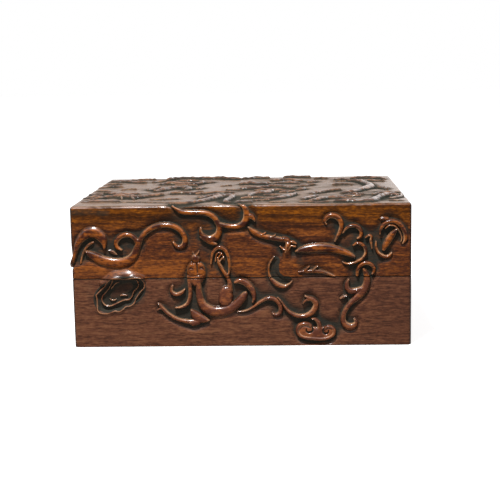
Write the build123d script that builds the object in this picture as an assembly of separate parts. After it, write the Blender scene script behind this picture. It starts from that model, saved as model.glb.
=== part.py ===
from build123d import *

import os
from math import radians, tan

# Keepsake box of carved rosewood, in millimetres, closed, with +Z up.
# The origin is the middle of the underside, and the front faces -Y.
# A mitred base and a mitred lid meet at a hairline seam, and two brass butt hinges join them at the back.
# The outer faces are carved in low relief: the top has the main ridges here, and the walls are left plain.

# Outside of the closed box
length = 300.0
depth = 240.0
height = 127.0
base_height = 61.9
seam_gap = 0.2
corner_radius = 3.5
top_edge_radius = 3.0
foot_edge_radius = 1.0
seam_edge_radius = 0.7

# Boards
wall = 14.0
top_thickness = 10.0

# Floor, held in a groove of the walls
floor_thickness = 6.0
floor_lift = 5.0
groove_depth = 4.0
groove_play = 0.3

# Keys across the mitres, hidden in the corners
key_width = 8.0
key_thickness = 2.4
key_setback = 8.0
key_play = 0.1
key_stop = 4.0

# Lining strips, whose upper edge is the lip that locates the lid
strip_thickness = 3.0
lip_rise = 5.0
lip_play = 0.3
lip_edge_radius = 1.0

# Hinges
hinge_from_end = 55.0
hinge_inset = 4.0
knuckle_count = 5
knuckle_length = 8.0
knuckle_gap = 0.2
barrel_radius = 2.5
barrel_play = 0.3
pin_radius = 1.2
pin_play = 0.05
leaf_thickness = 1.6
leaf_reach = 8.5
leaf_play = 0.1
opening_angle = 100.0
stop_play_angle = 1.0

# Hinge screws
screw_length = 10.0
screw_radius = 1.0
screw_head_radius = 1.9
screw_point_length = 2.5
screw_point_radius = 0.2
screw_play = 0.05
screw_slot_width = 0.6
screw_slot_depth = 0.5
screw_pitch = 14.0
screws_per_leaf = 3

# Carving on the top: the main ridges, each with its width and the line of its crest, as (x, distance back
# from the front edge). They rise from plain ground with bevelled sides.
ridge_height = 2.6
ridge_bevel = 1.2
ridge_root = 1.0
ridge_edge_margin = 3.5
ridge_bend_share = 0.45
ridges = {
    "low mound": (9.0, [(-134, 32), (-124, 35), (-114, 31)]),
    "thorned branch": (6.5, [(-138, 44), (-119, 73), (-98, 62), (-78, 77)]),
    "near left cloud": (6.5, [(-131, 99), (-113, 86), (-101, 86)]),
    "far left cloud": (6.5, [(-143, 151), (-136, 158), (-127, 156)]),
    "back left cloud": (7.0, [(-142, 206), (-130, 208), (-118, 199), (-108, 196)]),
    "long limb": (8.5, [(-54, 8), (-40, 16), (-20, 68), (-8, 62), (-15, 26), (-9, 12)]),
    "coiled dragon": (8.0, [(-86, 112), (-77, 136), (-60, 146), (-56, 122)]),
    "coiled dragon's tail": (6.0, [(-86, 174), (-76, 185), (-54, 173), (-46, 196)]),
    "back cloud": (8.0, [(-84, 220), (-72, 233), (-34, 231), (-14, 219)]),
    "rock lumps": (8.0, [(6, 62), (11, 82), (25, 93)]),
    "rock foot": (7.5, [(26, 35), (38, 46), (48, 70)]),
    "winding body": (6.5, [(-2, 126), (10, 128), (28, 146), (44, 126)]),
    "middle lump": (7.5, [(-5, 167), (5, 177), (19, 166)]),
    "right lump": (8.0, [(32, 169), (40, 177), (50, 169)]),
    "middle arc": (6.0, [(26, 198), (40, 208), (54, 191)]),
    "back right cloud": (7.5, [(41, 231), (50, 234), (62, 228)]),
    "right dragon": (10.0, [(105, 189), (119, 177), (124, 137), (112, 102), (95, 79)]),
    "corner cloud": (8.5, [(111, 210), (124, 218), (140, 204)]),
    "front right dragon": (9.5, [(87, 11), (114, 12), (126, 50), (139, 58)]),
    "right branch": (6.5, [(64, 20), (79, 43), (97, 30)]),
    "right tuft": (5.5, [(66, 77), (76, 94), (90, 105)]),
}

# Worked out from the sizes above
lid_low = base_height + seam_gap
panel_low = height - top_thickness
floor_top = floor_lift + floor_thickness
inner_x = length / 2 - wall
inner_y = depth / 2 - wall
lip_top = base_height + lip_rise
pivot_y = depth / 2 - hinge_inset
pivot_z = base_height + seam_gap / 2
hinge_width = knuckle_count * knuckle_length + (knuckle_count - 1) * knuckle_gap
hinge_places = {"left": hinge_from_end - length / 2, "right": length / 2 - hinge_from_end}
leaf_front = pivot_y - leaf_reach
leaf_back = pivot_y - barrel_radius - barrel_play
screw_y = (leaf_front + leaf_back) / 2
sides = ("front", "right", "back", "left")

# How a shape is set on its place: on its underside, under its top, or on its front lower edge
standing = (Align.CENTER, Align.CENTER, Align.MIN)
hanging = (Align.CENTER, Align.CENTER, Align.MAX)
from_front = (Align.CENTER, Align.MIN, Align.MIN)


def block(half_x, half_y, low, high):
    """Upright block about the Z axis, between two heights."""
    return Pos(0, 0, low) * Box(2 * half_x, 2 * half_y, high - low, align=standing)


def corners(half_x, half_y):
    """The four corners of a rectangle, from front left, anticlockwise from above."""
    return [(-half_x, -half_y), (half_x, -half_y), (half_x, half_y), (-half_x, half_y)]


def mitred_side(index, half_x, half_y, thickness, low, high):
    """One side of a mitred rectangular ring, by the index of its name in sides."""
    outer = corners(half_x, half_y)
    inner = corners(half_x - thickness, half_y - thickness)
    following = (index + 1) % len(sides)
    plan = Polygon(outer[index], outer[following], inner[following], inner[index], align=None)
    return Pos(0, 0, low) * extrude(plan, amount=high - low)


def rounded_block(low, high, low_radius, high_radius):
    """The outside of the base or the lid, with its arrises rounded."""
    body = block(length / 2, depth / 2, low, high)
    body = fillet(body.edges().filter_by(Axis.Z), corner_radius)
    body = fillet(body.edges().group_by(Axis.Z)[0], low_radius)
    return fillet(body.edges().group_by(Axis.Z)[-1], high_radius)


def corner_keys(low, high, play):
    """Four flat keys, each standing across the mitre of one corner."""
    keys = []
    turns = (45, 135, 225, 315)
    for (x, y), turn in zip(corners(length / 2 - key_setback, depth / 2 - key_setback), turns):
        key = Box(key_thickness + 2 * play, key_width + 2 * play, high - low + 2 * play)
        keys.append(Pos(x, y, (low + high) / 2) * Rot(0, 0, turn) * key)
    return keys


def back_bevel(upward):
    """Wedge cut from the back edge at the seam, so that the two bevels meet when the lid is open."""
    run = depth / 2 - pivot_y + corner_radius
    drop = run * tan(radians((opening_angle + stop_play_angle) / 2)) * upward
    plan = Polygon((pivot_y, pivot_z), (pivot_y + run, pivot_z), (pivot_y + run, pivot_z + drop), align=None)
    return extrude(Plane.YZ * plan, amount=length, both=True)


def along_x(shape_radius, span, x):
    """Round bar on the hinge axis, centred at x."""
    return Pos(x, pivot_y, pivot_z) * Rot(0, 90, 0) * Cylinder(shape_radius, span)


def screw_places():
    """X of each screw of both hinges."""
    first = -(screws_per_leaf - 1) / 2 * screw_pitch
    return [x + first + k * screw_pitch for x in hinge_places.values() for k in range(screws_per_leaf)]


def screw(x, play=0.0):
    """Countersunk slotted screw of a base leaf, flush with the leaf, or its hole where play is given."""
    head_depth = screw_head_radius - screw_radius
    head = Pos(0, 0, -head_depth / 2) * Cone(screw_radius + play, screw_head_radius + play, head_depth)
    if play:
        shank = Cylinder(screw_radius + play, screw_length + play, align=hanging)
        return Pos(x, screw_y, base_height) * (head + shank)
    shank_length = screw_length - screw_point_length
    shank = Cylinder(screw_radius, shank_length, align=hanging)
    point = Cone(screw_point_radius, screw_radius, screw_point_length, align=hanging)
    slot = Box(2 * screw_head_radius, screw_slot_width, 2 * screw_slot_depth)
    whole = head + shank + Pos(0, 0, -shank_length) * point - slot
    return Pos(x, screw_y, base_height) * whole


def above_seam(piece):
    """The same piece turned over to the lid's side of the seam."""
    return mirror(piece, about=Plane.XY.offset(pivot_z))


def leaf(x, own_knuckles):
    """Base leaf of the hinge at x: a plate in the seam face, and the knuckles that it carries."""
    plate_low = base_height - leaf_thickness
    plate = Box(hinge_width, leaf_back - leaf_front, leaf_thickness, align=from_front)
    plate = Pos(x, leaf_front, plate_low) * plate
    for k in own_knuckles:
        middle = x - hinge_width / 2 + knuckle_length / 2 + k * (knuckle_length + knuckle_gap)
        bridge = Box(knuckle_length, pivot_y - leaf_back, leaf_thickness, align=from_front)
        plate += Pos(middle, leaf_back, plate_low) * bridge
        plate += along_x(barrel_radius, knuckle_length, middle)
    plate -= along_x(pin_radius + pin_play, hinge_width + 1, x)
    for place in screw_places():
        plate -= screw(place, screw_play)
    return plate


def hinge_recess(x):
    """Room for one leaf and half of the barrel, in the back board of the base."""
    width = hinge_width + 2 * leaf_play
    room = Box(width, pivot_y - leaf_front + leaf_play, leaf_thickness, align=from_front)
    room = Pos(x, leaf_front - leaf_play, base_height - leaf_thickness) * room
    return room + along_x(barrel_radius + barrel_play, width, x)


def hinge_cuts():
    """All that the hinges take from the base's back board."""
    cuts = [hinge_recess(x) for x in hinge_places.values()]
    return cuts + [screw(x, screw_play) for x in screw_places()]


def base_walls():
    """The base as one ring, before it is parted at the mitres."""
    ring = rounded_block(0, base_height, foot_edge_radius, seam_edge_radius)
    ring -= block(inner_x, inner_y, 0, base_height)
    ring -= block(inner_x + groove_depth, inner_y + groove_depth, floor_lift, floor_top)
    ring -= back_bevel(-1)
    for cut in corner_keys(key_stop, base_height - key_stop, key_play) + hinge_cuts():
        ring -= cut
    return ring


def bevelled_panel():
    """The lid's top with square outer edges: each side slopes in by 45 degrees to the underside."""
    under = Rectangle(length - 2 * top_thickness, depth - 2 * top_thickness)
    return Pos(0, 0, panel_low) * extrude(under, amount=top_thickness, taper=-45)


def bent_line(points):
    """Straight runs along the points, joined by arcs as wide as the shorter run allows."""
    radii = []
    for before, at, after in zip(points, points[1:], points[2:]):
        run_in = Vector(*at) - Vector(*before)
        run_out = Vector(*after) - Vector(*at)
        turn = radians(run_in.get_angle(run_out))
        radii.append(ridge_bend_share * min(run_in.length, run_out.length) / tan(turn / 2))
    return FilletPolyline(*points, radius=radii)


def ridge(width, crest):
    """One carved ridge with rounded ends, rooted in the panel and bevelled along its upper edge."""
    line = bent_line([(x, y - depth / 2) for x, y in crest])
    outline = make_face(offset(line, amount=width / 2, side=Side.BOTH).edges())
    body = Pos(0, 0, height - ridge_root) * extrude(outline, amount=ridge_root + ridge_height)
    return chamfer(body.edges().group_by(Axis.Z)[-1], ridge_bevel)


def carved_top():
    """The top panel, rounded with the lid, and its ridges, which end short of the panel's edge."""
    panel = bevelled_panel() & rounded_block(lid_low, height, seam_edge_radius, top_edge_radius)
    half_x, half_y = length / 2 - ridge_edge_margin, depth / 2 - ridge_edge_margin
    room = block(half_x, half_y, height - ridge_root, height + ridge_height)
    for width, crest in ridges.values():
        panel += ridge(width, crest) & room
    return panel


def lid_walls():
    """The lid's ring of walls, before it is parted at the mitres."""
    ring = rounded_block(lid_low, height, seam_edge_radius, top_edge_radius)
    ring -= block(inner_x, inner_y, lid_low, height)
    ring -= bevelled_panel()
    ring -= back_bevel(1)
    for cut in corner_keys(lid_low + key_stop, panel_low - key_stop, key_play):
        ring -= cut
    for cut in hinge_cuts():
        ring -= above_seam(cut)
    return ring


def lining_ring():
    """The lining in one piece: it rests on the floor, and is thinner above the seam to clear the lid."""
    lower = block(inner_x, inner_y, floor_top, base_height)
    upper = block(inner_x - lip_play, inner_y - lip_play, base_height, lip_top)
    upper = fillet(upper.edges().group_by(Axis.Z)[-1], lip_edge_radius)
    return lower + upper - block(inner_x - strip_thickness, inner_y - strip_thickness, floor_top, lip_top)


def save(name, shapes):
    """One STEP file for a node, of one solid or of a group of separate solids."""
    solids = [solid for shape in shapes for solid in shape.solids()]
    whole = solids[0] if len(solids) == 1 else Compound(children=solids)
    whole.label = name
    export_step(whole, f"parts/{name}.step")


os.makedirs("parts", exist_ok=True)

# Walls and lining
base_ring = base_walls()
lid_ring = lid_walls()
lining = lining_ring()
for index, side in enumerate(sides):
    board_room = mitred_side(index, length / 2, depth / 2, wall, 0, height)
    strip_room = mitred_side(index, inner_x, inner_y, strip_thickness, floor_top, lip_top)
    save(f"base_{side}_board", [base_ring & board_room])
    save(f"lid_{side}_board", [lid_ring & board_room])
    save(f"lip_{side}_strip", [lining & strip_room])

# Floor, top and keys
floor_x = inner_x + groove_depth - groove_play
floor_y = inner_y + groove_depth - groove_play
save("base_floor_panel", [block(floor_x, floor_y, floor_lift, floor_top)])
save("lid_top_panel", [carved_top()])
save("base_corner_keys", corner_keys(key_stop, base_height - key_stop, 0))
save("lid_corner_keys", corner_keys(lid_low + key_stop, panel_low - key_stop, 0))

# Hinges: the base leaf has the odd knuckles, and the lid leaf the ones between them
for side, x in hinge_places.items():
    save(f"hinge_{side}_base_leaf", [leaf(x, range(0, knuckle_count, 2))])
    save(f"hinge_{side}_lid_leaf", [above_seam(leaf(x, range(1, knuckle_count, 2)))])
    save(f"hinge_{side}_pin", [along_x(pin_radius, hinge_width, x)])
save("base_hinge_screws", [screw(x) for x in screw_places()])
save("lid_hinge_screws", [above_seam(screw(x)) for x in screw_places()])
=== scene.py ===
from math import cos, pi, radians, sin, tan

import bpy
import numpy as np
from mathutils import Matrix, Vector


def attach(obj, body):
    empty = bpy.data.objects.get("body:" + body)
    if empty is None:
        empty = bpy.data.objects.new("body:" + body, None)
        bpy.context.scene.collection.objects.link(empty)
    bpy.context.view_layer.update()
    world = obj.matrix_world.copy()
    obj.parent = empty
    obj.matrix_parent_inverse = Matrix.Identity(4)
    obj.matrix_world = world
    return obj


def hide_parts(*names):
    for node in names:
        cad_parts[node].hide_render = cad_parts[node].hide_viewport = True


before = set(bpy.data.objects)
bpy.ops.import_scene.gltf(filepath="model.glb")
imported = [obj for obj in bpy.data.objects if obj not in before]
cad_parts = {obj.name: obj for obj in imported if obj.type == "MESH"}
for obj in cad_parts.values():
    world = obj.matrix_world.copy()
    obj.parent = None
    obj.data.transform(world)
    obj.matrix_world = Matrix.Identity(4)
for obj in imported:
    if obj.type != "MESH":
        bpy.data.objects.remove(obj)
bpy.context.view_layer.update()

# A rosewood keepsake box: a lift-up lid hinged along the back of a mitred base. Both are carved right round,
# and over the lid's top, with dragons among scrolls, a holed rock and mushroom-headed clouds.
# Lengths below are in millimetres; meshes are handed over in metres.

# ---------------------------------------------------------------------------------------------------------
# The four walls of the base: 14 mm rosewood boards mitred at the corners and rounded along their edges, with
# a groove inside for the floor. The back one is bevelled behind the hinges' axis so that the lid can turn.
# They are carved together with the lid's walls, which are sawn from the same boards along the seam.

length, depth, height, wall = 300.0, 240.0, 127.0, 14.0
base_top, lid_foot = 61.9, 62.1
corner_radius, foot_radius, seam_radius, top_radius = 3.5, 1.0, 0.7, 3.0
floor_groove, floor_low, floor_high = 4.0, 5.0, 11.0
hinge_back, hinge_height, bevel_slope = 116.0, 62.0, tan(radians(50.5))
hinge_places, leaf_half, leaf_front, leaf_sunk, barrel_room = (-95.0, 95.0), 20.5, 107.4, 1.62, 2.8

# The carving is one drawing on the unrolled walls: u runs from the middle of the front round to the right,
# back and left, and v is the height. Over the lid's top, v is the height plus the distance back from the
# front edge. A stroke is a kind, a rise, a line of points (u, v, half-width), a cut and a softness. Next are
# the ground's depth and how strokes crowd it, the arris of a narrow stroke, and the lumps of the lid's top.
ground_depth, crowd_reach, cut_starts, cut_grows = 2.0, 4.0, 0.22, 0.6
narrow, arris_fades, arris_inset, arris_width = 4.2, 3.0, 0.5, 0.4
edge_lumps, crest_lumps, chips, scratches = 4.3, 6.1, 2.9, 1.6
low_margin, rough_margin = 14.0, 12.0


def band(rise, *points, cut=1.0, soft=0.7):
    """A raised scroll that stands `rise` over the flat board. `cut` is how much of the full depth the ground
    beside it is cut away, and a larger `soft` rounds its sides more."""
    return ("band", rise, points, cut, soft)


def hollow(sunk, *points, edge=1.0):
    """A place where the ground is cut away to a flat floor, with a soft side as wide as `edge`."""
    return ("hollow", sunk, points, 0.0, edge)


def swell(rise, *points):
    """A broad pillow of the ground itself, highest along its line, with no cut beside it."""
    return ("swell", rise, points, 0.0, 0.0)


def nick(sunk, *points):
    """A knife cut across what stands there, deepest along its line."""
    return ("nick", sunk, points, 0.0, 0.0)


def shade(strength, *points):
    """A dark mark in the flat wood, darkest along its line: stain, and painted shade beside the relief."""
    return ("shade", strength, points, 0.0, 0.0)


def moved(strokes, middle, to, size=1.0, turn=0.0):
    """The same strokes about another middle: enlarged, turned in degrees, and mirrored left to right first
    where the size is negative."""
    side = -1.0 if size < 0 else 1.0
    c, s = cos(radians(turn)) * abs(size), sin(radians(turn)) * abs(size)
    return [(kind, rise, [(to[0] + c * side * (u - middle[0]) - s * (v - middle[1]),
                           to[1] + s * side * (u - middle[0]) + c * (v - middle[1]), w * abs(size))
                          for u, v, w in points], cut, soft) for kind, rise, points, cut, soft in strokes]


def drawn(points, step=0.7):
    """A smooth line through the points. Between two of them it is the cubic that leaves and arrives parallel
    to the chord between their neighbours, the Catmull-Rom curve."""
    p = np.array(points, float)
    p = np.vstack([2 * p[0] - p[1], p, 2 * p[-1] - p[-2]])
    runs = []
    for a, b, c, d in zip(p[:-3], p[1:-2], p[2:-1], p[3:]):
        n = max(2, int(np.hypot(*(c - b)[:2]) / step))
        t = (np.arange(n) / n)[:, None]
        bend, twist = 2 * a - 5 * b + 4 * c - d, 3 * b - a - 3 * c + d
        runs.append((2 * b + (c - a) * t + bend * t**2 + twist * t**3) / 2)
    line = np.vstack(runs + [p[-2:-1]])
    line[:, 2] = np.maximum(line[:, 2], 0.2)
    return line


def off_line(u, v, line):
    """For every place, the nearest stretch of the line: the distance to it as a share of its half-width, how
    far outside the stroke the place lies, and whether it is inside the line's bend, from -1 to 1. Also how
    much of the line is close by: the sum over its stretches of length * exp(-distance / crowd_reach) /
    (2 * crowd_reach), less where the line is thin."""
    share, outside = np.full(u.shape, 1e9), np.full(u.shape, 1e9)
    inner, close = np.zeros(u.shape), np.zeros(u.shape)
    steps = np.diff(line[:, :2], axis=0)
    lengths = np.hypot(*steps.T)
    turns = np.gradient(np.unwrap(np.arctan2(steps[:, 1], steps[:, 0]))) / lengths
    bends = np.clip(9 * np.convolve(turns, np.full(9, 1 / 9), "same"), -1, 1)
    for a, b, (du, dv), stretch, bend in zip(line[:-1], line[1:], steps, lengths, bends):
        t = np.clip(((u - a[0]) * du + (v - a[1]) * dv) / max(stretch**2, 1e-9), 0, 1)
        half_width = a[2] + (b[2] - a[2]) * t
        away = np.hypot(u - a[0] - du * t, v - a[1] - dv * t)
        nearest = away / half_width < share
        share = np.where(nearest, away / half_width, share)
        inner = np.where(nearest, np.sign(du * (v - a[1]) - dv * (u - a[0])) * bend, inner)
        outside = np.minimum(outside, away - half_width)
        weight = stretch / (2 * crowd_reach) * min(1.0, (a[2] + b[2]) / 3.6 + 0.15)
        close += weight * np.exp(-away / crowd_reach)
    return share, outside, inner, close


def eased(t):
    """0 to 1 with level ends: 3t^2 - 2t^3."""
    t = np.clip(t, 0, 1)
    return t * t * (3 - 2 * t)


def lumps(u, v, size):
    """Smooth lumps from -1 to 1, three times `size` across: a sine each way, each bent by the other's."""
    across = np.sin(2.1 * u / size + 1.7 * np.sin(1.3 * v / size) + 0.9 * np.sin(0.37 * u / size))
    return across * np.sin(1.7 * v / size + 1.4 * np.sin(1.1 * u / size) + 0.8 * np.sin(0.29 * v / size))


def carved(u, v, strokes):
    """The carving at every place: its height over the flat board and three marks from 0 to 1. Ground is cut
    where lines crowd together, as ground_depth * eased((crowd - cut_starts) / cut_grows), and a band stands
    on it as (ground + rise) * (1 - share^3)^soft, steeper inside its bends than outside. `crest` is how far
    up a band the place is, less on bands that stay low; `rim` marks the arris inside the edge of a narrow
    band; the last mark is how dark the ground is, darkest where strokes crowd, in hollows and along shade
    strokes: stain, and painted shade in the cut ground."""
    crowd, floor, raised, dark, rough, top, crest, rim = (np.zeros(u.shape) for _ in range(8))
    bands, nicks = [], []
    for kind, rise, points, cut, soft in strokes:
        line = drawn(points)
        far = line[:, 2].max() + (3 * crowd_reach if kind in ("band", "roll") else soft) + 1
        near = ((u > line[:, 0].min() - far) & (u < line[:, 0].max() + far)
                & (v > line[:, 1].min() - far) & (v < line[:, 1].max() + far))
        if not near.any():
            continue
        share, outside, inner, close = off_line(u[near], v[near], line)
        inside = np.clip(1 - share**2, 0, 1)
        if kind == "roll":
            low = 0.3 + 0.7 * eased((length / 2 - abs(u[near])) / low_margin)
            share = share * (1 + 0.2 * lumps(u[near], v[near], edge_lumps))
            rise = rise * (0.85 + 0.2 * lumps(u[near] + 40, v[near], crest_lumps)) * low
            rough[near] = np.maximum(rough[near], eased((rough_margin - outside) / rough_margin) * low)
        if kind in ("band", "roll"):
            crowd[near] += cut * close
            crown = np.clip(1 - share**3, 0, 1)**(soft * (1 - 0.4 * inner * np.clip(share, 0, 1)))
            arris = np.exp(-((outside + arris_inset) / arris_width)**2) * (0.5 + 0.5 * inner)
            arris *= 1 - eased((line[:, 2].max() - narrow) / arris_fades)
            bands.append((near, rise, crown, arris))
        elif kind == "hollow":
            floor[near] = np.maximum(floor[near], rise * eased(-outside / soft))
            # The hollow's floor and soft side are marked dark: stain, and painted shade in the hollow.
            dark[near] = np.maximum(dark[near], eased(1 - outside / soft))
        elif kind == "swell":
            raised[near] += rise * inside**2
        elif kind == "shade":
            dark[near] = 1 - (1 - dark[near]) * (1 - rise * inside)
        else:
            nicks.append((near, rise * inside))
    raised += rough * (0.16 * lumps(u, v, chips) + 0.1 * lumps(v, u, scratches))
    ground = np.maximum(ground_depth * eased((crowd - cut_starts) / cut_grows), floor)
    for near, rise, crown, arris in bands:
        tall = (ground[near] + rise) * crown
        higher = tall > top[near]
        top[near] = np.where(higher, tall, top[near])
        crest[near] = np.where(higher, crown * np.clip(1.2 + 0.7 * np.mean(rise), 0.2, 1), crest[near])
        rim[near] = np.where(higher, arris, rim[near])
    for near, cut in nicks:
        top[near] -= cut
        crest[near] *= np.clip(1 - cut, 0, 1)
        rim[near] *= np.clip(1 - cut, 0, 1)
    # The last mark paints the ground dark: stain, and painted shade where strokes crowd and in hollows.
    marks = {"crest": crest, "rim": rim, "stain_and_shade": np.maximum(np.clip(crowd / 1.6, 0, 1), dark)}
    return top - ground + raised, marks


# The front's figures, from left to right. First a scroll that comes round the corner, with its own curls.
left_scroll = [
    band(1.7, (-156.1, 72.4, 0.7), (-151.5, 76.4, 1.7), (-148, 81.4, 2.2), (-145.9, 87.5, 2.2),
         (-143.8, 93.7, 3.0), (-139.8, 99.5, 4.0), (-133.7, 103.9, 5.0), (-127, 103.4, 5.1),
         (-122, 98.9, 4.4), (-120.2, 93.8, 2.6), (-120.3, 88.8, 0.9)),
    band(0.2, (-141.7, 76.4, 0.8), (-140.5, 82.3, 1.0), (-138, 87.8, 1.1), (-134.6, 92.3, 1.2),
         (-130, 95.1, 1.1)),
    band(1.4, (-135.8, 86.3, 1.8), (-130.8, 83.3, 3.6), (-123.8, 79.3, 4.6), (-114.8, 76.6, 4.7),
         (-105.7, 76.2, 4.7), (-98.7, 78.5, 4.4), (-94.1, 82.8, 3.9), (-91.6, 88.3, 3.3), (-89.8, 93.2, 2.8),
         (-87.5, 98.2, 2.4), (-84, 102.7, 2.4), (-79.4, 106.1, 2.5), (-73.4, 108.8, 2.6),
         (-66.4, 109.8, 2.5), (-59.4, 108.8, 2.5), (-53.4, 105.6, 2.5), (-49.7, 100.6, 2.5),
         (-48.5, 95.6, 2.6), (-50.2, 91.2, 2.6), (-53.6, 89.8, 2.2), (-56.7, 91.1, 1.6), (-58.9, 94.2, 0.9)),
    band(1.2, (-90.3, 92.7, 2.4), (-92.5, 97.5, 2.3), (-96, 100.5, 2.2), (-100.5, 101.5, 2.4),
         (-105.3, 100.1, 2.3), (-108.9, 96.7, 2.3), (-109.9, 92.8, 2.1), (-108.4, 89.8, 1.8),
         (-105.1, 87.9, 1.0)),
    band(-0.4, (-116.2, 87.5, 0.8), (-113, 85.8, 1.6), (-109.7, 83.9, 0.8)),
    shade(0.42, (-148, 122, 5), (-134, 122, 6), (-117, 121, 5.5)),
]

# A holed scholar's rock: a raised rim, a deep channel inside it and a thin second rim round the sunk middle.
rock_edge = [(-128.8, 47.8), (-128.1, 40.6), (-128.1, 34.1), (-125.6, 31.4), (-120.7, 30.6), (-116.3, 31.7),
             (-112.7, 33.2), (-108.7, 32.5), (-105.4, 34.6), (-103, 37), (-98.2, 37.8), (-95, 40.6),
             (-93.4, 44.7), (-89.4, 50.2), (-85.8, 54.3), (-86.1, 59.9), (-89.4, 63.2), (-95.8, 63.2),
             (-102.2, 61.9), (-108.7, 62.7), (-114.3, 62.7), (-118.3, 59.5), (-120.4, 56.2), (-124.8, 51.8),
             (-128.8, 47.8)]
holed_rock = [
    swell(3.4, (-123, 58.5, 4), (-113, 63, 6.6), (-100, 64, 7.2), (-88, 61.5, 5)),
    swell(1.2, *((u, v, 3.0) for u, v in rock_edge)),
    band(0.1, *((u, v, 0.6) for u, v in rock_edge), cut=0.05),
    hollow(1.9, (-125, 40, 4.2), (-118, 44.5, 12), (-106.9, 49.3, 13.8), (-97.4, 52.6, 11.2),
           (-90.8, 57.8, 5.6), edge=1.5),
    band(-1.32, (-114, 46.5, 3), (-107, 51.5, 5.2), (-99.5, 55, 4), cut=0.1),
    band(0.1, (-112.9, 61.9, 0.5), (-116.5, 55.2, 0.5), (-120, 50.4, 0.6), (-123.4, 46.4, 0.5),
         (-124.1, 42, 0.6), (-121.6, 38.5, 0.6), (-117.4, 37.4, 0.6), (-113, 38.8, 0.6), (-108, 41.2, 0.6),
         (-104, 42.8, 0.7), (-99.9, 43.2, 0.6), (-97.3, 45.8, 0.5), (-95.4, 50.5, 0.5), (-92, 53.7, 0.5),
         (-91, 57.4, 0.5), (-92.8, 61.7, 0.5), (-100.8, 62, 0.7), (-112.9, 61.9, 0.5), cut=0.4),
    band(-0.6, (-115.4, 53.4, 0.6), (-111.4, 57.9, 0.6), (-108.4, 59.2, 0.5), cut=0.2),
    band(-0.5, (-107.5, 46.8, 0.6), (-104.9, 47.3, 0.9), (-101.4, 46.9, 0.5), cut=0.2),
    band(-0.6, (-117, 44, 0.5), (-115, 42.5, 0.7), (-111.5, 43.1, 0.5), cut=0.2),
    shade(0.3, (-134, 58, 6), (-135, 48, 7), (-133, 36, 6)),
    shade(0.35, (-84, 50, 5), (-90, 41, 6), (-100, 33, 5)),
]

# Scrolls that hang over the front's upper edge, and a thorned branch that runs down to the second dragon.
edge_scroll = [
    band(1.3, (-59.6, 127.2, 0.7), (-56.5, 124.6, 1.4), (-52.3, 121.6, 2.2), (-44.4, 120.4, 2.4),
         (-35.4, 120.3, 2.4), (-27.4, 119.1, 2.6), (-22.5, 115.7, 2.6), (-19.5, 110.9, 2.6),
         (-18.2, 106, 2.7), (-19.4, 101, 3.1), (-23.1, 97.1, 3.8), (-28.1, 97, 3.0), (-32.6, 99.4, 2.4),
         (-34.7, 103, 1.7), (-34.5, 106.4, 1.1)),
    band(1.2, (-35, 98.6, 1.0), (-30.1, 95.7, 1.8), (-25.1, 93.4, 2.2), (-21.5, 92.3, 1.3)),
    band(1.3, (-19, 110.4, 1.6), (-13.6, 108.8, 2.1), (-7.6, 107.8, 2.4), (-1.7, 107.9, 2.7),
         (3.1, 110.2, 3.1), (5.7, 114.3, 3.3), (6.1, 118.7, 3.1), (5.1, 122.7, 2.6), (2.9, 126.7, 2.1),
         (-1.1, 129.1, 1.2)),
    band(1.2, (6.8, 117.3, 1.8), (9.8, 116.8, 2.6), (12.4, 114.1, 1.6), (13.2, 112.1, 0.7)),
]
branch = [
    band(1.1, (7.2, 106.9, 0.8), (11.2, 103.3, 2.5), (16.1, 100.1, 2.7), (22, 98.2, 2.5), (28.9, 97, 2.3),
         (34.9, 95.9, 2.2), (39.8, 95.2, 2.4)),
    band(1.3, (16.9, 99.4, 1.3), (19.7, 100.5, 1.0), (22.4, 101.9, 0.5)),
    band(1.3, (27, 97.6, 1.2), (29, 98.7, 0.9), (30.9, 99.9, 0.5)),
]

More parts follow.
